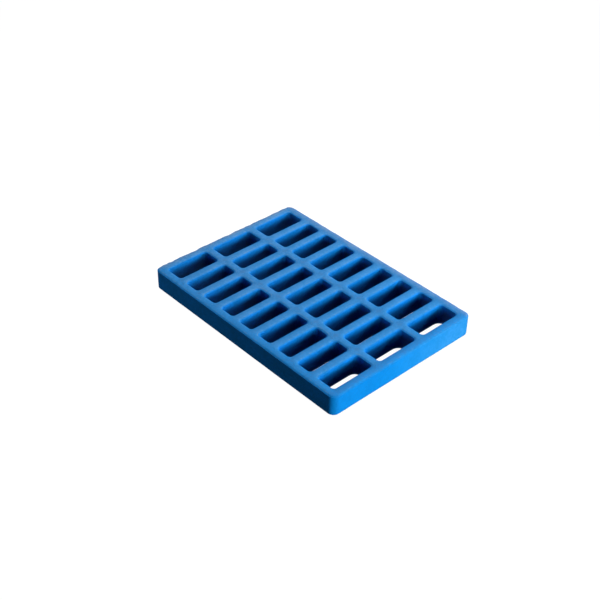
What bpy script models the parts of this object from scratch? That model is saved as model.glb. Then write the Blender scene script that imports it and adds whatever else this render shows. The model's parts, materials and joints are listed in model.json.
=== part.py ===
"""Plug tray: a thick cast urethane tray of open-bottomed cells, stiffened by a welded steel skeleton inside its webs.

Length runs along X, width along Y and +Z is up. The origin is the middle of the underside.
Every size is in metres. Steel pieces that are welded together keep a hairline gap here, FIT_GAP.
"""

import math

import bmesh
import bpy
from mathutils import Vector

# The cell grid: cells are long across the tray (Y) and narrow along it (X).
COLUMNS = 3
ROWS = 9
CELL_LENGTH = 0.0560
CELL_WIDTH = 0.0202
END_CELL_WIDTH = 0.0243
CELL_CORNER_RADIUS = 0.0042
ROW_WEB = 0.0110
COLUMN_WEB = 0.0102
SIDE_BORDER = 0.0106
END_BORDER = 0.0111

# The slab that the grid is cast in.
TRAY_THICKNESS = 0.0254
TRAY_CORNER_RADIUS = 0.0080
RIM_RADIUS = 0.0020
CORNER_STEPS = 4
RIM_STEPS = 2

# The steel skeleton: flat bars on edge, with round rods lying across them, midway up the slab.
BAR_THICKNESS = 0.0030
BAR_HEIGHT = 0.0100
ROD_DIAMETER = 0.0050
ROD_SIDES = 12
FIT_GAP = 0.0003

# Holes left in the underside by the pins that held the skeleton up in the mould.
PIN_HOLE_DIAMETER = 0.0030
PIN_HOLE_SIDES = 12
CUT_MARGIN = 0.0050

BLUE = (0.02, 0.25, 0.75, 1.0)
STEEL_GREY = (0.42, 0.42, 0.43, 1.0)


def row_widths():
    """Widths of the cells along X, in order: the two end rows have wider cells."""
    return [END_CELL_WIDTH] + [CELL_WIDTH] * (ROWS - 2) + [END_CELL_WIDTH]


def tray_length():
    return sum(row_widths()) + (ROWS - 1) * ROW_WEB + 2 * END_BORDER


def tray_width():
    return COLUMNS * CELL_LENGTH + (COLUMNS - 1) * COLUMN_WEB + 2 * SIDE_BORDER


def row_centres():
    """X of the middle of each row of cells."""
    centres = []
    start = -tray_length() / 2 + END_BORDER
    for width in row_widths():
        centres.append(start + width / 2)
        start += width + ROW_WEB
    return centres


def column_centres():
    """Y of the middle of each column of cells."""
    pitch = CELL_LENGTH + COLUMN_WEB
    return [(column - (COLUMNS - 1) / 2) * pitch for column in range(COLUMNS)]


def row_web_centres():
    """X of the middle of each web between two rows."""
    edges = [x + width / 2 for x, width in zip(row_centres(), row_widths())]
    return [edge + ROW_WEB / 2 for edge in edges[:-1]]


def column_web_centres():
    """Y of the middle of each web between two columns."""
    return [y + (CELL_LENGTH + COLUMN_WEB) / 2 for y in column_centres()[:-1]]


def skeleton_cover():
    """Thickness of urethane below the skeleton, and above it."""
    return (TRAY_THICKNESS - BAR_HEIGHT - FIT_GAP - ROD_DIAMETER) / 2


def side_bar_y():
    """Y of the side bars: the middle of the side borders."""
    return (tray_width() - SIDE_BORDER) / 2


def end_bar_x():
    """X of the end bars: the middle of the end borders."""
    return (tray_length() - END_BORDER) / 2


def clear_scene():
    for leftover in list(bpy.data.objects):
        bpy.data.objects.remove(leftover)


def new_collection(name, shown=True):
    collection = bpy.data.collections.new(name)
    collection.hide_render = not shown
    bpy.context.scene.collection.children.link(collection)
    return collection


def plain_material(name, colour, roughness, metallic):
    material = bpy.data.materials.new(name)
    material.use_nodes = True
    shader = material.node_tree.nodes["Principled BSDF"]
    shader.inputs["Base Color"].default_value = colour
    shader.inputs["Roughness"].default_value = roughness
    shader.inputs["Metallic"].default_value = metallic
    material.diffuse_color = colour
    return material


def add_object(name, mesh, centre, collection, material=None):
    new = bpy.data.objects.new(name, mesh)
    new.location = centre
    collection.objects.link(new)
    if material:
        mesh.materials.append(material)
    return new


def block_mesh(name, size, corner_radius=0.0):
    """A box about its own middle, with its four upright edges rounded if a radius is given."""
    shape = bmesh.new()
    bmesh.ops.create_cube(shape, size=1.0)
    bmesh.ops.scale(shape, vec=size, verts=shape.verts)
    if corner_radius:
        upright = [e for e in shape.edges if abs(e.verts[0].co.z - e.verts[1].co.z) > size[2] / 2]
        bmesh.ops.bevel(
            shape, geom=upright, offset=corner_radius, segments=CORNER_STEPS, profile=0.5, affect="EDGES"
        )
    mesh = bpy.data.meshes.new(name)
    shape.to_mesh(mesh)
    shape.free()
    return mesh


def rod_mesh(name, radius, length, sides):
    """A round rod about its own middle, lying along Z."""
    shape = bmesh.new()
    bmesh.ops.create_cone(
        shape, cap_ends=True, segments=sides, radius1=radius, radius2=radius, depth=length
    )
    mesh = bpy.data.meshes.new(name)
    shape.to_mesh(mesh)
    shape.free()
    mesh.shade_smooth()
    mesh.set_sharp_from_angle(angle=math.radians(40))
    return mesh


def add_cutter(name, mesh, centre, collection):
    cutter = add_object(name, mesh, centre, collection)
    cutter.hide_render = True
    cutter.display_type = "WIRE"
    return cutter


def cut(target, cutters):
    """Subtracts every object of a collection from the target."""
    boolean = target.modifiers.new(cutters.name, "BOOLEAN")
    boolean.operation = "DIFFERENCE"
    boolean.operand_type = "COLLECTION"
    boolean.collection = cutters
    return boolean


def add_cell_cutters(collection):
    height = TRAY_THICKNESS + 2 * CUT_MARGIN
    for row, (x, width) in enumerate(zip(row_centres(), row_widths()), start=1):
        for column, y in enumerate(column_centres(), start=1):
            name = f"cell_cutter_{row}_{column}"
            mesh = block_mesh(name, (width, CELL_LENGTH, height), CELL_CORNER_RADIUS)
            add_cutter(name, mesh, (x, y, TRAY_THICKNESS / 2), collection)


def skeleton_plan():
    """(name, size, centre) of each flat bar. The side bars run full length, the end bars butt against
    them, and the rib bars butt against the end bars."""
    side_y = side_bar_y()
    end_x = end_bar_x()
    bar_z = skeleton_cover() + BAR_HEIGHT / 2
    side_length = 2 * end_x + BAR_THICKNESS
    end_length = 2 * side_y - BAR_THICKNESS - 2 * FIT_GAP
    rib_length = 2 * end_x - BAR_THICKNESS - 2 * FIT_GAP
    along = Vector((0.0, BAR_THICKNESS, BAR_HEIGHT))
    across = Vector((BAR_THICKNESS, 0.0, BAR_HEIGHT))
    plan = [
        ("side_bar_left", along + Vector((side_length, 0, 0)), (0, side_y, bar_z)),
        ("side_bar_right", along + Vector((side_length, 0, 0)), (0, -side_y, bar_z)),
        ("end_bar_front", across + Vector((0, end_length, 0)), (end_x, 0, bar_z)),
        ("end_bar_back", across + Vector((0, end_length, 0)), (-end_x, 0, bar_z)),
    ]
    for number, y in enumerate(column_web_centres(), start=1):
        plan.append((f"rib_bar_{number}", along + Vector((rib_length, 0, 0)), (0, y, bar_z)))
    return plan


def rod_length():
    """The rods reach the outer faces of the side bars."""
    return 2 * side_bar_y() + BAR_THICKNESS


def rod_height():
    """Z of the rods' axes: they lie on top of the bars."""
    return skeleton_cover() + BAR_HEIGHT + FIT_GAP + ROD_DIAMETER / 2


def add_skeleton(collection, material):
    for name, size, centre in skeleton_plan():
        add_object(name, block_mesh(name, size), centre, collection, material)
    for number, x in enumerate(row_web_centres(), start=1):
        name = f"cross_rod_{number}"
        mesh = rod_mesh(name, ROD_DIAMETER / 2, rod_length(), ROD_SIDES)
        rod = add_object(name, mesh, (x, 0, rod_height()), collection, material)
        rod.rotation_euler.x = math.radians(90)


def add_skeleton_cutters(collection):
    """The room that the skeleton takes up inside the urethane, a hairline larger all round."""
    grow = Vector((2 * FIT_GAP,) * 3)
    for name, size, centre in skeleton_plan():
        add_cutter(f"{name}_room", block_mesh(f"{name}_room", size + grow), centre, collection)
    for number, x in enumerate(row_web_centres(), start=1):
        name = f"cross_rod_{number}_room"
        mesh = rod_mesh(name, ROD_DIAMETER / 2 + FIT_GAP, rod_length() + 2 * FIT_GAP, ROD_SIDES)
        cutter = add_cutter(name, mesh, (x, 0, rod_height()), collection)
        cutter.rotation_euler.x = math.radians(90)


def add_pin_hole_cutters(collection):
    """Round holes from the underside up to each lengthwise bar, near its ends and at its middle."""
    depth = skeleton_cover() + CUT_MARGIN
    for x in (row_web_centres()[0], 0, row_web_centres()[-1]):
        for y in (-side_bar_y(), *column_web_centres(), side_bar_y()):
            name = f"pin_hole_cutter_{len(collection.objects) + 1}"
            mesh = rod_mesh(name, PIN_HOLE_DIAMETER / 2, depth, PIN_HOLE_SIDES)
            add_cutter(name, mesh, (x, y, skeleton_cover() - depth / 2), collection)


def add_tray_body(collection, cutters, material):
    """The cast slab: rounded outside, cut through by the cells, all its rims eased, hollow for the steel."""
    size = (tray_length(), tray_width(), TRAY_THICKNESS)
    mesh = block_mesh("tray_body", size, TRAY_CORNER_RADIUS)
    body = add_object("tray_body", mesh, (0, 0, TRAY_THICKNESS / 2), collection, material)
    cut(body, cutters["cells"])
    rims = body.modifiers.new("rims", "BEVEL")
    rims.width = RIM_RADIUS
    rims.segments = RIM_STEPS
    rims.limit_method = "ANGLE"
    rims.angle_limit = math.radians(60)
    cut(body, cutters["skeleton_room"])
    cut(body, cutters["pin_holes"])
    return body


def main():
    clear_scene()
    tray = new_collection("plug_tray")
    cutters = {name: new_collection(name, shown=False) for name in ("cells", "skeleton_room", "pin_holes")}
    blue_urethane = plain_material("blue_urethane", BLUE, 0.45, 0.0)
    mild_steel = plain_material("mild_steel", STEEL_GREY, 0.5, 1.0)
    add_cell_cutters(cutters["cells"])
    add_skeleton_cutters(cutters["skeleton_room"])
    add_pin_hole_cutters(cutters["pin_holes"])
    add_tray_body(tray, cutters, blue_urethane)
    add_skeleton(tray, mild_steel)


main()
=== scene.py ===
"""The looks of the plug tray: its cast urethane body, the steel inside it and the studio it stands in."""

import json
import math

import bmesh
import bpy
from mathutils import Matrix, Vector, noise

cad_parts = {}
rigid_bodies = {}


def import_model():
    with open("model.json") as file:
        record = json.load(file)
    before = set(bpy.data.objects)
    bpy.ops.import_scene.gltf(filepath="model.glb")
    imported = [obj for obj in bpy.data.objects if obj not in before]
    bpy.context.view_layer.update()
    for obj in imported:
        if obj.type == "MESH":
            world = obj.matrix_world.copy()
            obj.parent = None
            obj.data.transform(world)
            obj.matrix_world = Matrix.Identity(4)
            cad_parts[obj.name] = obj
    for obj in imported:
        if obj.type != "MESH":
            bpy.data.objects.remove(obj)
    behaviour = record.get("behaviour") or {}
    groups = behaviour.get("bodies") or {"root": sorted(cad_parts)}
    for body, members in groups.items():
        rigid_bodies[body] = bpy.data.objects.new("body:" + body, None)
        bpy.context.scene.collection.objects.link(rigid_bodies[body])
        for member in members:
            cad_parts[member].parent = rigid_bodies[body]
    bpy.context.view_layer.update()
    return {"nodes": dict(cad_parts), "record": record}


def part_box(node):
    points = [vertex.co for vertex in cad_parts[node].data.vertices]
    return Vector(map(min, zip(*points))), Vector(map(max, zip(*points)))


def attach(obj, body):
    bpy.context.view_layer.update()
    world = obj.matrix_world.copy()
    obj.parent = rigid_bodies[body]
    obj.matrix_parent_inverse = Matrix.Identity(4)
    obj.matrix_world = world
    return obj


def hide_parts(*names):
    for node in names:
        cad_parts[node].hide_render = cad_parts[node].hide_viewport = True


bl_info = {
    "name": "Plug Tray",
    "version": (1, 0, 0),
    "blender": (4, 5, 0),
    "location": "3D View > Sidebar > Plug Tray",
    "description": "Models a thick cast urethane plug tray around its steel skeleton and lights it",
    "category": "Add Mesh",
}

for leftover in list(bpy.data.objects):
    bpy.data.objects.remove(leftover)
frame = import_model()
TRAY_LOW, TRAY_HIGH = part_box("tray_body")
CELLS = [opening["box_m"] for opening in frame["record"]["physics"]["openings"]]

FLAT_BARS = [name for name in sorted(frame["nodes"]) if "_bar" in name]
CROSS_RODS = [name for name in sorted(frame["nodes"]) if name.startswith("cross_rod")]
LONG_BARS = ["side_bar_left", "rib_bar_1", "rib_bar_2", "side_bar_right"]
PIN_ROWS = [CROSS_RODS[0], CROSS_RODS[-1]]
RIM_LAYER = "from_rim"
OUTSIDE_LAYER = "from_outside"

# Mesh work: tolerances in metres, limits on the z of a face's normal, and steps round each curve.
SAME_PLACE = 1e-5
CUT_TOLERANCE = 1e-6
LEVEL = 0.99
UPRIGHT = 0.1
TRAY_CORNER_STEPS = 10
CELL_CORNER_STEPS = 6
RIM_STEPS = 6
OUTER_FOOT_STEPS = 4
CELL_FOOT_STEPS = 2
SHARP_ANGLE = math.radians(50)

# How far the mesh's bends reach and how long their waves are, in metres, and the share of each.
WEB_REACH = 0.012
EDGE_BAND = 0.004
LOOP_CLEARANCE = 0.0003
BEAD_BREAKS = 0.006
SLOW_WAVES = 0.060
QUICK_WAVES = 0.016
QUICK_START = Vector((7.0, 3.0, 1.0))
WAVE_SEED = 1
QUICK_SHARE = 0.4
HEIGHT_SHARE = 0.4
LONG_NICKS = 0.0100
SHORT_NICKS = 0.0040
SHORT_NICK_SHARE = 0.3
FAR_SIDE_SHARE = 0.4


# Shader maths


class Value:
    """An output socket of a material, on which Python's arithmetic adds Math nodes."""

    def __init__(self, shader, socket):
        self.shader = shader
        self.socket = socket

    def _math(self, operation, first, second):
        return self.shader.node("Math", {"operation": operation}, {0: first, 1: second})

    def __add__(self, other):
        return self._math("ADD", self, other)

    def __radd__(self, other):
        return self._math("ADD", other, self)

    def __sub__(self, other):
        return self._math("SUBTRACT", self, other)

    def __rsub__(self, other):
        return self._math("SUBTRACT", other, self)

    def __mul__(self, other):
        return self._math("MULTIPLY", self, other)

    def __rmul__(self, other):
        return self._math("MULTIPLY", other, self)


class Shader:
    """A material with one Principled BSDF, and the nodes that feed it."""

    def __init__(self, name):
        self.material = bpy.data.materials.new(name)
        self.material.use_nodes = True
        self.tree = self.material.node_tree
        self.surface = self.tree.nodes["Principled BSDF"]

    def node(self, kind, settings=None, inputs=None, output=0):
        """Adds a node, sets it up, then fills or links its sockets. Returns one of its outputs."""
        node = self.tree.nodes.new("ShaderNode" + kind)
        for name, setting in (settings or {}).items():
            setattr(node, name, setting)
        self._fill(node, inputs or {})
        return Value(self, node.outputs[output])

    def finish(self, **inputs):
        """Fills or links the Principled BSDF's sockets, named with _ for a space."""
        self._fill(self.surface, {name.replace("_", " "): value for name, value in inputs.items()})
        return self.material

    def _fill(self, node, inputs):
        for name, value in inputs.items():
            if isinstance(value, Value):
                self.tree.links.new(value.socket, node.inputs[name])
            else:
                node.inputs[name].default_value = value

    def place(self):
        """Where a point lies on the piece, in metres."""
        return self.node("TexCoord", output="Object")

    def axes(self):
        """The three coordinates of that point."""
        inputs = {"Vector": self.place()}
        return [self.node("SeparateXYZ", {}, inputs, axis) for axis in "XYZ"]

    def attribute(self, name):
        """A number stored at each vertex of the mesh."""
        return self.node("Attribute", {"attribute_name": name}, output="Fac")

    def cells(self, spacing):
        """Distance from the nearest of many scattered points, in units of their spacing."""
        return self.node("TexVoronoi", {}, {"Vector": self.place(), "Scale": 1.0 / spacing}, "Distance")

    def noise(self, grain, detail=2.0, roughness=0.5):
        """A cloudy pattern from 0 to 1 whose lumps are about grain metres across."""
        inputs = {"Vector": self.place(), "Scale": 1.0 / grain, "Detail": detail, "Roughness": roughness}
        return self.node("TexNoise", {}, inputs, "Fac")

    def fade(self, value, low, high, result_low=0.0, result_high=1.0):
        """Maps value from low..high to result_low..result_high, and holds it at both ends."""
        inputs = {"Value": value, "From Min": low, "From Max": high}
        inputs.update({"To Min": result_low, "To Max": result_high})
        return self.node("MapRange", {"interpolation_type": "SMOOTHSTEP"}, inputs)

    def blend(self, factor, first, second):
        """A colour between first and second."""
        inputs = {0: factor, 6: first, 7: second}
        return self.node("Mix", {"data_type": "RGBA"}, inputs, 2)

    def bump(self, height, depth, normal=None):
        """Turns a height from 0 to 1 into a surface normal, for relief of that depth in metres."""
        inputs = {"Height": height, "Distance": depth}
        if normal:
            inputs["Normal"] = normal
        return self.node("Bump", {}, inputs)


# The cast body


class TrayBodySettings(bpy.types.PropertyGroup):
    """Sizes and colours of the cast body"""

    cell_margin: bpy.props.FloatProperty(
        name="Cell margin", description="From each stated opening to the walls of its cell",
        default=0.0014, unit="LENGTH",
    )
    cell_corner: bpy.props.FloatProperty(
        name="Cell corner", description="Radius of a cell's upright corners at the top face",
        default=0.0042, unit="LENGTH",
    )
    corner_growth: bpy.props.FloatProperty(
        name="Corner growth", description="How much larger that radius is at the underside",
        default=0.0048, unit="LENGTH",
    )
    tray_corner: bpy.props.FloatProperty(
        name="Tray corner", description="Radius of the tray's four upright corners",
        default=0.0080, unit="LENGTH",
    )
    cell_rim: bpy.props.FloatProperty(
        name="Cell rim", description="Rounding of the top rim of each cell",
        default=0.0012, unit="LENGTH",
    )
    tray_rim: bpy.props.FloatProperty(
        name="Tray rim", description="Rounding of the tray's outer top edge",
        default=0.0013, unit="LENGTH",
    )
    foot_rim: bpy.props.FloatProperty(
        name="Foot rim", description="Rounding of the underside round each cell",
        default=0.0007, unit="LENGTH",
    )
    outer_foot: bpy.props.FloatProperty(
        name="Outer foot", description="Rounding of the tray's outer bottom edge",
        default=0.0011, unit="LENGTH",
    )
    crown_radius: bpy.props.FloatProperty(
        name="Crown radius", description="Radius of the gentle crown across each web",
        default=0.0160, unit="LENGTH",
    )
    web_half_width: bpy.props.FloatProperty(
        name="Web half width", description="Where the crown ends, measured from the nearest wall",
        default=0.0055, unit="LENGTH",
    )
    bead_height: bpy.props.FloatProperty(
        name="Bead height", description="Height of the faint bead that the mould left outside each rim",
        default=0.00020, unit="LENGTH",
    )
    bead_width: bpy.props.FloatProperty(
        name="Bead width", description="Half the width of that bead",
        default=0.0009, unit="LENGTH",
    )
    waviness: bpy.props.FloatProperty(
        name="Waviness", description="How far the cast walls wander from straight",
        default=0.00018, unit="LENGTH",
    )
    trimming: bpy.props.FloatProperty(
        name="Trimming", description="Depth of the nicks that trimming left on the back and the far side",
        default=0.00240, unit="LENGTH",
    )
    mesh_step: bpy.props.FloatProperty(
        name="Mesh step", description="Longest stretch between two cuts through the mesh",
        default=0.0040, unit="LENGTH",
    )
    top_loops: bpy.props.IntProperty(
        name="Top loops", description="Rings of edges between a rim and the middle of its web",
        default=4, min=1,
    )
    pin_hole: bpy.props.FloatProperty(
        name="Pin hole", description="Radius of the holes that the mould's support pins left",
        default=0.0015, unit="LENGTH",
    )
    colour: bpy.props.FloatVectorProperty(
        name="Colour", description="Colour of the urethane where it is clean",
        subtype="COLOR", size=4, default=(0.001, 0.200, 0.670, 1.0),
    )
    # Colour of the duller blotches, and also the colour of the painted shade on the top's borders and the
    # front wall.
    dull_and_shade_colour: bpy.props.FloatVectorProperty(
        name="Dull colour", description="Colour of its duller patches",
        subtype="COLOR", size=4, default=(0.001, 0.190, 0.580, 1.0),
    )
    # Painted light: a more cyan copy of the blue for the lit top face and front wall.
    lit_face_colour: bpy.props.FloatVectorProperty(
        name="Aged colour", description="Colour of the faces that the sun has reached",
        subtype="COLOR", size=4, default=(0.001, 0.236, 0.622, 1.0),
    )
    # Painted sheen: a pale painted reflection of the bright studio, laid into the colour of the open faces.
    sheen_colour: bpy.props.FloatVectorProperty(
        name="Bloom", description="Pale dusty haze on the open faces",
        subtype="COLOR", size=4, default=(0.28, 0.32, 0.32, 1.0),
    )
    # Painted shade that darkens the cells low down. Also the colour of the random darker mottle.
    shade_and_mottle: bpy.props.FloatVectorProperty(
        name="Stain", description="Dark stain low inside the cells",
        subtype="COLOR", size=4, default=(0.001, 0.025, 0.100, 1.0),
    )
    crossing_colour: bpy.props.FloatVectorProperty(
        name="Crossing colour", description="Colour where two webs cross, and inside the pits",
        subtype="COLOR", size=4, default=(0.020, 0.165, 0.440, 1.0),
    )
    roughness: bpy.props.FloatProperty(
        name="Roughness", description="Roughness of the cast skin", default=0.50, min=0.0, max=1.0
    )


def cell_rectangles(margin):
    """(low x, low y, high x, high y) of each cell at its walls."""
    return [
        (low[0] - margin, low[1] - margin, high[0] + margin, high[1] + margin) for low, high in CELLS
    ]


def tray_outline():
    """The same four numbers for the tray itself."""
    return (TRAY_LOW.x, TRAY_LOW.y, TRAY_HIGH.x, TRAY_HIGH.y)


def from_rectangle(x, y, rectangle, corner):
    """Distance in plan from a round-cornered rectangle: above 0 outside it, below 0 inside."""
    low_x, low_y, high_x, high_y = rectangle
    across = abs(x - (low_x + high_x) / 2) - (high_x - low_x) / 2 + corner
    along = abs(y - (low_y + high_y) / 2) - (high_y - low_y) / 2 + corner
    outside = math.hypot(max(across, 0.0), max(along, 0.0))
    return outside + min(max(across, along), 0.0) - corner


def from_rim(x, y, cells, settings):
    """Distance in plan from the nearest wall, on the material's side."""
    nearest = -from_rectangle(x, y, tray_outline(), settings.tray_corner)
    for cell in cells:
        low_x, low_y, high_x, high_y = cell
        if low_x - WEB_REACH < x < high_x + WEB_REACH and low_y - WEB_REACH < y < high_y + WEB_REACH:
            nearest = min(nearest, from_rectangle(x, y, cell, settings.cell_corner))
    return nearest


def smooth_step(value):
    """Eases from 0 to 1, and holds at both ends."""
    value = min(max(value, 0.0), 1.0)
    return value * value * (3.0 - 2.0 * value)


def cut_at(shape, point, normal):
    """Adds edges where a plane passes through the whole shape."""
    geometry = shape.verts[:] + shape.edges[:] + shape.faces[:]
    bmesh.ops.bisect_plane(shape, geom=geometry, dist=CUT_TOLERANCE, plane_co=point, plane_no=normal)


def block_with_cells(cells):
    """A block that fills the CAD body's box, with a square-cornered cell cut through it at each place."""
    shape = bmesh.new()
    bmesh.ops.create_cube(shape, size=1.0)
    bmesh.ops.scale(shape, vec=TRAY_HIGH - TRAY_LOW, verts=shape.verts)
    bmesh.ops.translate(shape, vec=(TRAY_LOW + TRAY_HIGH) / 2, verts=shape.verts)
    for x in sorted({round(value, 6) for cell in cells for value in (cell[0], cell[2])}):
        cut_at(shape, (x, 0, 0), (1, 0, 0))
    for y in sorted({round(value, 6) for cell in cells for value in (cell[1], cell[3])}):
        cut_at(shape, (0, y, 0), (0, 1, 0))
    for low_x, low_y, high_x, high_y in cells:
        lids = []
        for face in shape.faces:
            middle = face.calc_center_median()
            if abs(face.normal.z) > LEVEL and low_x < middle.x < high_x and low_y < middle.y < high_y:
                lids.append(face)
        rims = [edge for face in lids for edge in face.edges]
        bmesh.ops.delete(shape, geom=lids, context="FACES_ONLY")
        bmesh.ops.bridge_loops(shape, edges=rims)
    return shape


def round_edges(shape, edges, radius, steps):
    """Rounds those edges to one radius, in that many steps."""
    bmesh.ops.bevel(
        shape, geom=edges, offset=radius, segments=steps, profile=0.5, affect="EDGES", material=-1,
        clamp_overlap=True,
    )


def is_upright(edge):
    first, second = (vert.co for vert in edge.verts)
    return (first - second).xy.length < CUT_TOLERANCE


def at_tray_corner(edge):
    place = edge.verts[0].co
    return abs(place.x) > TRAY_HIGH.x - SAME_PLACE and abs(place.y) > TRAY_HIGH.y - SAME_PLACE


def at_cell_corner(edge, corners):
    place = edge.verts[0].co
    return any(abs(place.x - x) < SAME_PLACE and abs(place.y - y) < SAME_PLACE for x, y in corners)


def round_upright_corners(shape, cells, settings):
    """Rounds the tray's four upright corners, then those of the cells."""
    corners = [(x, y) for cell in cells for x in (cell[0], cell[2]) for y in (cell[1], cell[3])]
    outer = [edge for edge in shape.edges if is_upright(edge) and at_tray_corner(edge)]
    round_edges(shape, outer, settings.tray_corner, TRAY_CORNER_STEPS)
    inner = [edge for edge in shape.edges if is_upright(edge) and at_cell_corner(edge, corners)]
    round_edges(shape, inner, settings.cell_corner, CELL_CORNER_STEPS)


def on_outer_wall(edge):
    """Whether an edge lies in the band just inside the tray's outline."""
    place = (edge.verts[0].co + edge.verts[1].co) / 2
    return -from_rectangle(place.x, place.y, tray_outline(), 0.0) < EDGE_BAND


def find_rims(shape, upwards, outer):
    """The edges between upright walls and the top face or the underside, outside or in the cells."""
    found = []
    for edge in shape.edges:
        if len(edge.link_faces) != 2 or on_outer_wall(edge) != outer:
            continue
        wall, flat = sorted(edge.link_faces, key=lambda face: abs(face.normal.z))
        if abs(wall.normal.z) < UPRIGHT and abs(flat.normal.z) > LEVEL and (flat.normal.z > 0) == upwards:
            found.append(edge)
    return found


def round_rims(shape, settings):
    """Rounds the rims of the top face and then those of the underside, the outer ones first."""
    for upwards, outer, radius, steps in (
        (True, True, settings.tray_rim, RIM_STEPS),
        (True, False, settings.cell_rim, RIM_STEPS),
        (False, True, settings.outer_foot, OUTER_FOOT_STEPS),
        (False, False, settings.foot_rim, CELL_FOOT_STEPS),
    ):
        shape.normal_update()
        round_edges(shape, find_rims(shape, upwards, outer), radius, steps)
    shape.normal_update()


def face_over(shape, x, y):
    """The smallest face of the underside whose box holds that point."""
    found = []
    for face in shape.faces:
        if face.normal.z > -LEVEL:
            continue
        across = [vert.co.x for vert in face.verts]
        along = [vert.co.y for vert in face.verts]
        if min(across) < x < max(across) and min(along) < y < max(along):
            found.append(face)
    return min(found, key=lambda face: face.calc_area())


def sink_pin_hole(shape, x, y, radius, depth):
    """A round blind hole in the underside, from a small square that is marked out round it."""
    half_square = 1.3 * radius
    half_start = 0.9 * radius
    for normal in ((1, 0, 0), (-1, 0, 0), (0, 1, 0), (0, -1, 0)):
        face = face_over(shape, x, y)
        geometry = [face] + list(face.edges) + list(face.verts)
        point = (x + half_square * normal[0], y + half_square * normal[1], 0)
        bmesh.ops.bisect_plane(shape, geom=geometry, dist=CUT_TOLERANCE, plane_co=point, plane_no=normal)
    face = face_over(shape, x, y)
    bmesh.ops.inset_individual(shape, faces=[face], thickness=half_square - half_start)
    bmesh.ops.subdivide_edges(shape, edges=face.edges[:], cuts=3)
    face = face_over(shape, x, y)
    middle = Vector((x, y))
    for vert in face.verts:
        vert.co.xy = middle + (vert.co.xy - middle).normalized() * radius
    floor = bmesh.ops.extrude_discrete_faces(shape, faces=[face])["faces"][0]
    bmesh.ops.translate(shape, vec=(0, 0, depth), verts=floor.verts)


def add_pin_holes(shape, settings):
    """The marks of the mould's pins, which held up the ends and the middle of each long bar."""
    stations = [0.0] + [sum(corner.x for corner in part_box(rod)) / 2 for rod in PIN_ROWS]
    for bar in LONG_BARS:
        low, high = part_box(bar)
        for x in stations:
            sink_pin_hole(shape, x, (low.y + high.y) / 2, settings.pin_hole, low.z - TRAY_LOW.z)


def add_top_loops(shape, settings):
    """Rings of edges round every rim of the top face, out to the middle of the webs."""
    at_top = TRAY_HIGH.z - CUT_TOLERANCE
    top = [face for face in shape.faces if face.normal.z > LEVEL and face.calc_center_median().z > at_top]
    reach = settings.web_half_width - settings.tray_rim - LOOP_CLEARANCE
    step = reach / settings.top_loops
    for _ in range(settings.top_loops):
        bmesh.ops.inset_region(shape, faces=top, thickness=step, use_boundary=True, use_even_offset=True)


def add_cuts(shape, step):
    """Cuts the mesh across at even steps, so that it can bend between them."""
    for axis in range(3):
        span = TRAY_HIGH[axis] - TRAY_LOW[axis]
        count = max(1, round(span / step))
        normal = [0.0, 0.0, 0.0]
        normal[axis] = 1.0
        for number in range(1, count):
            point = [0.0, 0.0, 0.0]
            point[axis] = TRAY_LOW[axis] + span * number / count
            cut_at(shape, point, normal)


def widen_corners(shape, cells, settings):
    """Lets the corner radius of each cell grow towards the underside."""
    fade = 2 * settings.web_half_width / 3
    for vert in shape.verts:
        depth = (TRAY_HIGH.z - vert.co.z) / (TRAY_HIGH.z - TRAY_LOW.z)
        radius = settings.cell_corner + settings.corner_growth * smooth_step(depth)
        for cell in cells:
            low_x, low_y, high_x, high_y = cell
            in_x = low_x - fade < vert.co.x < high_x + fade
            if not (in_x and low_y - fade < vert.co.y < high_y + fade):
                continue
            middle = Vector(((low_x + high_x) / 2, (low_y + high_y) / 2))
            out = Vector((vert.co.x, vert.co.y)) - middle
            centre = Vector(((high_x - low_x) / 2 - radius, (high_y - low_y) / 2 - radius))
            arm = Vector((abs(out.x), abs(out.y))) - centre
            if arm.x <= 0 or arm.y <= 0:
                continue
            outside = from_rectangle(vert.co.x, vert.co.y, cell, settings.cell_corner)
            keep = 1.0 - smooth_step(outside / fade)
            moved = centre + arm.normalized() * (radius + outside)
            moved = Vector((math.copysign(moved.x, out.x), math.copysign(moved.y, out.y)))
            vert.co.xy = (middle + out).lerp(middle + moved, keep)


def crown_webs(shape, cells, settings):
    """Lowers the top face towards every rim, which crowns each web, and adds a faint broken bead.

    It also stores how far each vertex is from the nearest wall and from the tray's outline.
    """
    rim_layer = shape.verts.layers.float.new(RIM_LAYER)
    outside_layer = shape.verts.layers.float.new(OUTSIDE_LAYER)
    for vert in shape.verts:
        distance = from_rim(vert.co.x, vert.co.y, cells, settings)
        vert[rim_layer] = distance
        vert[outside_layer] = -from_rectangle(vert.co.x, vert.co.y, tray_outline(), settings.tray_corner)
        reach = smooth_step((vert.co.z - TRAY_HIGH.z + settings.cell_rim) / settings.cell_rim)
        fall = max(settings.web_half_width - distance, 0.0) ** 2 / (2 * settings.crown_radius)
        place = (distance - settings.cell_rim - settings.bead_width) / settings.bead_width
        broken = 0.6 + noise.noise(vert.co / BEAD_BREAKS)
        bead = settings.bead_height * max(1.0 - place * place, 0.0) * broken
        vert.co.z += (bead - fall) * reach


def wave_walls(shape, settings):
    """Lets the walls wander, slowly along the tray and a little faster along each wall.

    Vector noise starts from the clock unless it is seeded, so the seed keeps every run the same.
    """
    noise.seed_set(WAVE_SEED)
    for vert in shape.verts:
        slow = noise.noise_vector(vert.co / SLOW_WAVES)
        quick = noise.noise_vector(vert.co / QUICK_WAVES + QUICK_START)
        push = (slow + QUICK_SHARE * quick) * settings.waviness
        push.z *= HEIGHT_SHARE
        vert.co += push


def nearness(distance):
    """1 at an edge of the tray, easing to 0 at the end of the band that trimming reaches."""
    return smooth_step(1.0 - distance / EDGE_BAND)


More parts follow.
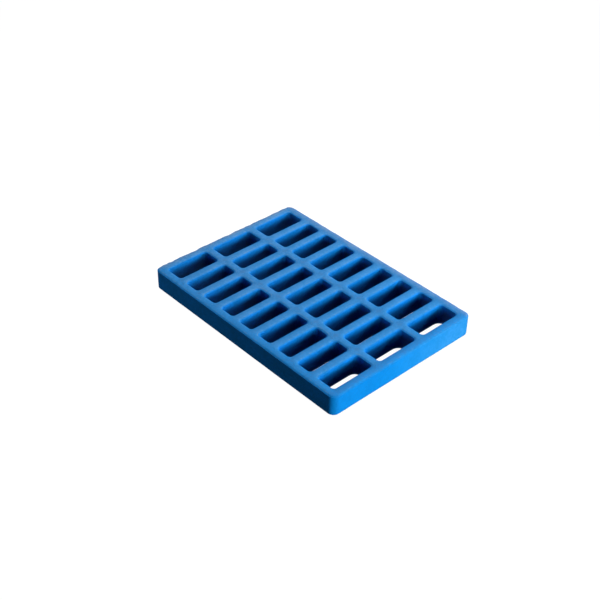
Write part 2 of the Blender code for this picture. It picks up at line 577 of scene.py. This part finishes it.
def trim_edges(shape, settings):
    """Leaves the outer top edge of the back and of the far side slightly ragged, as a knife leaves it."""
    for vert in shape.verts:
        back = nearness(vert.co.x - TRAY_LOW.x)
        far_side = nearness(TRAY_HIGH.y - vert.co.y)
        high = nearness(TRAY_HIGH.z - vert.co.z)
        nick = abs(noise.noise(vert.co / LONG_NICKS))
        nick += SHORT_NICK_SHARE * abs(noise.noise(vert.co / SHORT_NICKS))
        vert.co.x += settings.trimming * nick * back * high
        vert.co.y -= FAR_SIDE_SHARE * settings.trimming * nick * far_side * high


def fit_in_cad_box(shape):
    """Scales the shape by a hair so that it fills the CAD body's box again."""
    low = Vector([min(vert.co[axis] for vert in shape.verts) for axis in range(3)])
    high = Vector([max(vert.co[axis] for vert in shape.verts) for axis in range(3)])
    bmesh.ops.translate(shape, vec=-(low + high) / 2, verts=shape.verts)
    size = TRAY_HIGH - TRAY_LOW
    bmesh.ops.scale(shape, vec=[size[axis] / (high - low)[axis] for axis in range(3)], verts=shape.verts)
    bmesh.ops.translate(shape, vec=(TRAY_LOW + TRAY_HIGH) / 2, verts=shape.verts)


class TRAY_OT_body(bpy.types.Operator):
    """Models the cast urethane body with its cells, crowned webs and slightly wavy walls"""

    bl_idname = "tray.body"
    bl_label = "Cast body"

    def execute(self, context):
        settings = context.scene.tray_body
        cells = cell_rectangles(settings.cell_margin)
        shape = block_with_cells(cells)
        round_upright_corners(shape, cells, settings)
        round_rims(shape, settings)
        add_pin_holes(shape, settings)
        add_top_loops(shape, settings)
        add_cuts(shape, settings.mesh_step)
        widen_corners(shape, cells, settings)
        crown_webs(shape, cells, settings)
        wave_walls(shape, settings)
        trim_edges(shape, settings)
        fit_in_cad_box(shape)
        mesh = bpy.data.meshes.new("urethane_body")
        shape.to_mesh(mesh)
        shape.free()
        mesh.shade_smooth()
        mesh.set_sharp_from_angle(angle=SHARP_ANGLE)
        body = bpy.data.objects.new("urethane_body", mesh)
        context.scene.collection.objects.link(body)
        mesh.materials.append(urethane(settings))
        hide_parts("tray_body")
        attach(body, "root")
        return {"FINISHED"}


# The urethane. Bands are in metres from the face, the outline or the rim that each of them follows.

TOP_BAND = (0.0012, 0.0003)
FRONT_WALL_BAND = (0.0040, 0.0008)
FRONT_BAND = (0.0130, 0.0060)
BACK_BAND = (0.0015, 0.0100)
NEAR_SIDE_BAND = (0.0060, 0.0130)
FAR_SIDE_BAND = (0.0105, 0.0015)
IN_CELL_BAND = (0.0040, 0.0080)
FOOT_BAND = (0.0003, 0.0012)
# Depths below the top at which the painted shade in the cells is full and where it starts.
CELL_SHADE_BAND = (0.0115, 0.0045)
CROSSING_BAND = (0.0052, 0.0074)
RIDGE_BANDS = (0.0014, 0.0021, 0.0032)
# Along the front wall: where the painted shade fades out and where the painted sheen starts to grow.
SHADED_WALL = (-0.06, 0.08)
WALL_SHEEN_START = -0.04

CLOUD_SIZE = 0.018
SMEAR_SIZE = 0.0035
GRAIN_SIZE = 0.0007
RIDGE_BREAKS = 0.0060
PIT_SPACING = 0.0075
SMEAR_RELIEF = 0.00012
GRAIN_RELIEF = 0.00003
PIT_DEPTH = 0.00010

# Share of the painted light on the lit top face and front wall.
LIT_FACE_SHARE = 0.85
# Painted shade on the front, near-side and far-side borders of the top, and on the front wall.
FRONT_BORDER_SHADE = 0.40
NEAR_BORDER_SHADE = 0.20
FAR_BORDER_SHADE = 0.60
FRONT_WALL_SHADE = 0.9
CROSSING_STRENGTH = 0.45
# Strength of the painted shade low in the cells.
CELL_SHADE_STRENGTH = 0.75
# Painted sheen, a painted reflection of the bright studio: along the top, on the back and far borders, less
# on the front and near borders, as painted highlights along the rims, and on the front wall.
BACK_SHEEN = 0.13
FRONT_SHEEN = 0.05
BORDER_SHEEN = 0.26
NEAR_BORDERS_LESS_SHEEN = 0.07
RIDGE_HIGHLIGHT = 0.15
WALL_SHEEN = 0.07
PIT_STRENGTH = 0.35
MOTTLE_STRENGTH = 0.16
# Extra roughness where the painted sheen lies.
SHEEN_ROUGHNESS = 0.3


def near_high(shader, place, face, band):
    """A mask that rises to 1 towards a face at the tray's high end."""
    start, full = band
    return shader.fade(place, face - start, face - full)


def near_low(shader, place, face, band):
    """A mask that is 1 by a face at the tray's low end, and falls to 0 away from it."""
    full, end = band
    return shader.fade(place, face + full, face + end, 1.0, 0.0)


class SkinZones:
    """Masks from 0 to 1 for the stretches of the skin that get painted light, painted shade or painted
    sheen, and what they follow.
    """

    def __init__(self, shader):
        self.x, self.y, self.z = shader.axes()
        self.from_rim = shader.attribute(RIM_LAYER)
        self.from_outside = shader.attribute(OUTSIDE_LAYER)
        self.top = near_high(shader, self.z, TRAY_HIGH.z, TOP_BAND)
        self.front_wall = near_high(shader, self.x, TRAY_HIGH.x, FRONT_WALL_BAND)
        self.front = near_high(shader, self.x, TRAY_HIGH.x, FRONT_BAND)
        self.back = near_low(shader, self.x, TRAY_LOW.x, BACK_BAND)
        self.near_side = near_low(shader, self.y, TRAY_LOW.y, NEAR_SIDE_BAND)
        self.far_side = near_high(shader, self.y, TRAY_HIGH.y, FAR_SIDE_BAND)


def clean_colour(shader, zones, cloud, smear, settings):
    """Blotchy blue, with painted light on the top and the front wall, painted shade on the top's borders and
    towards the near end of the front wall, and darker where webs cross.
    """
    blotches = shader.fade(cloud * 0.6 + smear * 0.4, 0.36, 0.64)
    colour = shader.blend(blotches, settings.dull_and_shade_colour, settings.colour)
    # Painted light: the lit top face and front wall take the more cyan lit copy of the blue.
    colour = shader.blend((zones.top + zones.front_wall) * LIT_FACE_SHARE, colour, settings.lit_face_colour)
    # Painted shade: the top's borders, and the front wall towards its near side, blend to the duller blue.
    border_shade = zones.front * FRONT_BORDER_SHADE + zones.near_side * NEAR_BORDER_SHADE
    border_shade = border_shade + zones.far_side * FAR_BORDER_SHADE
    shaded_wall = shader.fade(zones.y, *SHADED_WALL, FRONT_WALL_SHADE, 0.0)
    painted_shade = zones.top * border_shade + zones.front_wall * (1.0 - zones.top) * shaded_wall
    colour = shader.blend(painted_shade, colour, settings.dull_and_shade_colour)
    crossing = shader.fade(zones.from_rim, *CROSSING_BAND) * zones.top
    return shader.blend(crossing * CROSSING_STRENGTH, colour, settings.crossing_colour)


def painted_cell_shade(shader, zones, cloud):
    """How strong the painted shade is: it darkens the walls of the cells low down, in patches."""
    in_cell = shader.fade(zones.from_outside, *IN_CELL_BAND) * shader.fade(zones.z, *FOOT_BAND)
    full, start = CELL_SHADE_BAND
    deep = shader.fade(zones.z, TRAY_HIGH.z - full, TRAY_HIGH.z - start, 1.0, 0.0)
    return deep * in_cell * shader.fade(cloud, 0.30, 0.70, 0.75, 1.0) * CELL_SHADE_STRENGTH


def painted_sheen_strength(shader, zones, cloud, smear):
    """How strong the painted sheen is: a painted reflection that is most on the back and far borders, less
    on the front and near borders, broken painted highlights along the rims, and painted sheen growing along
    the front wall.
    """
    along = shader.fade(zones.x, TRAY_LOW.x, TRAY_HIGH.x, BACK_SHEEN, FRONT_SHEEN)
    # Broken painted highlights along the beads outside the rims.
    start, crest, end = RIDGE_BANDS
    ridge = shader.fade(zones.from_rim, start, crest) * shader.fade(zones.from_rim, crest, end, 1.0, 0.0)
    ridge = ridge * shader.fade(shader.noise(RIDGE_BREAKS, 2.0), 0.46, 0.60)
    # Painted sheen on the top: grows towards the back, stronger on the back and far borders, weaker on the
    # front and near borders.
    on_top = along + (zones.back + zones.far_side) * BORDER_SHEEN
    on_top = on_top - (zones.front + zones.near_side) * NEAR_BORDERS_LESS_SHEEN + ridge * RIDGE_HIGHLIGHT
    # Painted sheen on the front wall, growing towards the far side.
    on_wall = shader.fade(zones.y, WALL_SHEEN_START, TRAY_HIGH.y, 0.0, WALL_SHEEN)
    sheen = on_top * zones.top + zones.front_wall * (1.0 - zones.top) * on_wall
    return sheen * shader.fade(cloud * 0.4 + smear * 0.6, 0.35, 0.65, 0.55, 1.45)


def urethane(settings):
    """Blue cast urethane: satin, mottled and pitted, with painted sheen on the open faces, painted light and
    shade on the top and front wall, and painted shade low in the cells.
    """
    shader = Shader("cast_urethane")
    zones = SkinZones(shader)
    cloud = shader.noise(CLOUD_SIZE, 4.0, 0.55)
    smear = shader.noise(SMEAR_SIZE, 3.0, 0.6)
    grain = shader.noise(GRAIN_SIZE, 3.0, 0.65)
    sheen = painted_sheen_strength(shader, zones, cloud, smear)
    pits = shader.fade(shader.cells(PIT_SPACING), 0.05, 0.11, 1.0, 0.0) * shader.fade(smear, 0.45, 0.60)
    mottle = shader.fade(cloud * 0.3 + smear * 0.4 + grain * 0.3, 0.40, 0.60, MOTTLE_STRENGTH, 0.0)

    colour = clean_colour(shader, zones, cloud, smear, settings)
    # Painted shade low in the cells.
    colour = shader.blend(painted_cell_shade(shader, zones, cloud), colour, settings.shade_and_mottle)
    # Painted sheen on the open faces.
    colour = shader.blend(sheen, colour, settings.sheen_colour)
    colour = shader.blend(pits * PIT_STRENGTH, colour, settings.crossing_colour)
    colour = shader.blend(mottle, colour, settings.shade_and_mottle)

    relief = shader.bump(smear, SMEAR_RELIEF)
    relief = shader.bump(grain, GRAIN_RELIEF, relief)
    relief = shader.bump(1.0 - pits, PIT_DEPTH, relief)
    smoothest, roughest = settings.roughness - 0.06, settings.roughness + 0.08
    rough = shader.fade(smear * 0.5 + grain * 0.5, 0.35, 0.65, smoothest, roughest)
    return shader.finish(
        Base_Color=colour, Roughness=rough + sheen * SHEEN_ROUGHNESS, Normal=relief, IOR=1.5,
        Specular_IOR_Level=0.12,
    )


# The steel


class SteelSettings(bpy.types.PropertyGroup):
    """Colours of the steel inside the body"""

    mill_scale: bpy.props.FloatVectorProperty(
        name="Mill scale", description="Colour of the dark scale that hot rolling leaves",
        subtype="COLOR", size=4, default=(0.13, 0.13, 0.15, 1.0),
    )
    worn: bpy.props.FloatVectorProperty(
        name="Worn steel", description="Colour of the brighter patches where the scale is worn",
        subtype="COLOR", size=4, default=(0.36, 0.35, 0.35, 1.0),
    )
    rust: bpy.props.FloatVectorProperty(
        name="Rust", description="Colour of the spots of rust",
        subtype="COLOR", size=4, default=(0.22, 0.085, 0.035, 1.0),
    )


class TRAY_OT_steel(bpy.types.Operator):
    """Gives the flat bars and cross rods inside the casting their mill-finished steel"""

    bl_idname = "tray.steel"
    bl_label = "Steel skeleton"

    def execute(self, context):
        steel = mild_steel(context.scene.tray_steel)
        for name in FLAT_BARS + CROSS_RODS:
            mesh = frame["nodes"][name].data
            mesh.materials.clear()
            mesh.materials.append(steel)
        return {"FINISHED"}


def mild_steel(settings):
    """Hot-rolled mild steel: dark mill scale with brighter worn patches and a few spots of rust."""
    patch_size, rust_size, grain_size = 0.0040, 0.0090, 0.0006
    grain_relief = 0.00004
    rust_strength = 0.7
    shader = Shader("mild_steel")
    scale = shader.noise(patch_size, 4.0, 0.6)
    grain = shader.noise(grain_size, 3.0, 0.6)
    worn = shader.fade(scale, 0.42, 0.58)
    colour = shader.blend(worn, settings.mill_scale, settings.worn)
    rust = shader.fade(shader.noise(rust_size, 5.0, 0.65), 0.60, 0.70)
    colour = shader.blend(rust * rust_strength, colour, settings.rust)
    return shader.finish(
        Base_Color=colour,
        Metallic=shader.fade(rust, 0.0, 1.0, 1.0, 0.3),
        Roughness=shader.fade(grain * 0.5 + worn * -0.2 + rust * 0.4, 0.0, 0.6, 0.38, 0.75),
        Normal=shader.bump(grain, grain_relief),
    )


# The studio

SENSOR_WIDTH = 36.0
FLOOR_HALF_SIZE = 20.0
FLOOR_GAP = 0.0005
PANEL_DISTANCE = 1.2

# Each soft panel's azimuth, elevation, width and height in degrees, as the tray sees it, and its brightness.
PANELS = {
    "front_panel": (0.0, 8.0, 22.0, 14.0, "front_brightness"),
    "raised_panel": (0.0, 22.0, 22.0, 16.0, "raised_brightness"),
    "side_panel": (60.0, 22.0, 22.0, 16.0, "side_brightness"),
    "back_panel": (205.0, 10.0, 25.0, 16.0, "back_brightness"),
    "high_side_panel": (100.0, 50.0, 35.0, 25.0, "top_brightness"),
    "high_back_panel": (140.0, 50.0, 35.0, 25.0, "top_brightness"),
    "under_panel": (0.0, -90.0, 14.0, 14.0, "under_brightness"),
}


class StudioSettings(bpy.types.PropertyGroup):
    """The camera, and the strength of each light"""

    lens: bpy.props.FloatProperty(
        name="Lens", description="Focal length of the camera", default=67.35, unit="CAMERA"
    )
    camera_place: bpy.props.FloatVectorProperty(
        name="Camera", description="Where the camera stands",
        subtype="XYZ", unit="LENGTH", default=(0.7401, -0.6990, 0.7773),
    )
    camera_aim: bpy.props.FloatVectorProperty(
        name="Aim", description="The point that the camera looks at",
        subtype="XYZ", unit="LENGTH", default=(0.00578, -0.01917, 0.0253),
    )
    camera_roll: bpy.props.FloatProperty(
        name="Roll", description="Turn of the camera about its view",
        subtype="ANGLE", default=math.radians(0.939),
    )
    front_brightness: bpy.props.FloatProperty(
        name="Front brightness", description="Light that the low front panel throws on the tray",
        default=0.93, min=0.0,
    )
    raised_brightness: bpy.props.FloatProperty(
        name="Raised brightness", description="Light that the raised front panel throws",
        default=0.27, min=0.0,
    )
    side_brightness: bpy.props.FloatProperty(
        name="Side brightness", description="Light that the panel at the right throws",
        default=0.61, min=0.0,
    )
    back_brightness: bpy.props.FloatProperty(
        name="Back brightness", description="Light that the low rear panel throws",
        default=0.33, min=0.0,
    )
    top_brightness: bpy.props.FloatProperty(
        name="Top brightness", description="Light that each of the two high panels throws",
        default=0.40, min=0.0,
    )
    under_brightness: bpy.props.FloatProperty(
        name="Under brightness", description="Light from straight below, for views of the underside",
        default=0.60, min=0.0,
    )
    room_brightness: bpy.props.FloatProperty(
        name="Room brightness", description="Light of the room from all round", default=0.0, min=0.0
    )


class TRAY_OT_studio(bpy.types.Operator):
    """Sets up the floor, the soft lights and the camera"""

    bl_idname = "tray.studio"
    bl_label = "Studio"

    def execute(self, context):
        settings = context.scene.tray_studio
        add_camera(settings)
        add_floor()
        add_world(settings.room_brightness)
        for name, (azimuth, elevation, width, height, brightness) in PANELS.items():
            add_panel(name, azimuth, elevation, width, height, getattr(settings, brightness))
        context.scene.view_settings.view_transform = "Standard"
        return {"FINISHED"}


def add_camera(settings):
    lens = bpy.data.cameras.new("camera")
    lens.lens = settings.lens
    lens.sensor_width = SENSOR_WIDTH
    camera = bpy.data.objects.new("camera", lens)
    view = Vector(settings.camera_aim) - Vector(settings.camera_place)
    turn = view.to_track_quat("-Z", "Y").to_matrix() @ Matrix.Rotation(settings.camera_roll, 3, "Z")
    camera.matrix_world = Matrix.Translation(settings.camera_place) @ turn.to_4x4()
    bpy.context.scene.collection.objects.link(camera)
    bpy.context.scene.camera = camera


def add_floor():
    """A wide white floor that throws no light into the cells and can be seen through from below."""
    shape = bmesh.new()
    bmesh.ops.create_grid(shape, x_segments=1, y_segments=1, size=FLOOR_HALF_SIZE)
    bmesh.ops.translate(shape, vec=(0, 0, -FLOOR_GAP), verts=shape.verts)
    mesh = bpy.data.meshes.new("floor")
    shape.to_mesh(mesh)
    shape.free()
    floor = bpy.data.objects.new("floor", mesh)
    bpy.context.scene.collection.objects.link(floor)
    floor.visible_diffuse = False
    floor.visible_glossy = False
    floor.visible_shadow = False
    shader = Shader("white_floor")
    from_below = shader.node("NewGeometry", output="Backfacing")
    mesh.materials.append(
        shader.finish(
            Base_Color=(0.0, 0.0, 0.0, 1.0), Emission_Color=(1.0, 1.0, 1.0, 1.0), Emission_Strength=1.0,
            Alpha=1.0 - from_below,
        )
    )


def add_world(brightness):
    """White to the camera, and an even room of the given brightness to everything else."""
    world = bpy.data.worlds.new("room")
    world.use_nodes = True
    bpy.context.scene.world = world
    tree = world.node_tree
    path = tree.nodes.new("ShaderNodeLightPath")
    strength = tree.nodes.new("ShaderNodeMapRange")
    strength.inputs["To Min"].default_value = brightness
    strength.inputs["To Max"].default_value = 1.0
    tree.links.new(path.outputs["Is Camera Ray"], strength.inputs["Value"])
    room = tree.nodes["Background"]
    room.inputs["Color"].default_value = (1.0, 1.0, 1.0, 1.0)
    tree.links.new(strength.outputs["Result"], room.inputs["Strength"])


def direction(azimuth, elevation):
    """A unit vector: azimuth is turned from +X towards +Y, elevation is above the floor."""
    flat = math.cos(elevation)
    return Vector((flat * math.cos(azimuth), flat * math.sin(azimuth), math.sin(elevation)))


def add_panel(name, azimuth, elevation, width, height, brightness):
    """A soft panel that faces the tray. The four angles are in degrees, as the tray sees them."""
    light = bpy.data.lights.new(name, "AREA")
    light.shape = "RECTANGLE"
    light.size = 2 * PANEL_DISTANCE * math.tan(math.radians(width) / 2)
    light.size_y = 2 * PANEL_DISTANCE * math.tan(math.radians(height) / 2)
    light.energy = brightness * (math.pi * PANEL_DISTANCE) ** 2
    panel = bpy.data.objects.new(name, light)
    towards = direction(math.radians(azimuth), math.radians(elevation))
    panel.location = towards * PANEL_DISTANCE
    panel.rotation_euler = towards.to_track_quat("Z", "Y").to_euler()
    bpy.context.scene.collection.objects.link(panel)


# The add-on


class TRAY_PT_sidebar(bpy.types.Panel):
    """Buttons that build the tray"""

    bl_idname = "TRAY_PT_sidebar"
    bl_label = "Plug Tray"
    bl_space_type = "VIEW_3D"
    bl_region_type = "UI"
    bl_category = "Plug Tray"

    def draw(self, context):
        for operator in (TRAY_OT_body, TRAY_OT_steel, TRAY_OT_studio):
            self.layout.operator(operator.bl_idname)


SETTINGS = {"tray_body": TrayBodySettings, "tray_steel": SteelSettings, "tray_studio": StudioSettings}
CLASSES = (*SETTINGS.values(), TRAY_OT_body, TRAY_OT_steel, TRAY_OT_studio, TRAY_PT_sidebar)


def register():
    for each in CLASSES:
        bpy.utils.register_class(each)
    for name, group in SETTINGS.items():
        setattr(bpy.types.Scene, name, bpy.props.PointerProperty(type=group))


def unregister():
    for name in SETTINGS:
        delattr(bpy.types.Scene, name)
    for each in reversed(CLASSES):
        bpy.utils.unregister_class(each)


def main():
    register()
    bpy.ops.tray.body()
    bpy.ops.tray.steel()
    bpy.ops.tray.studio()


if __name__ == "__main__":
    main()
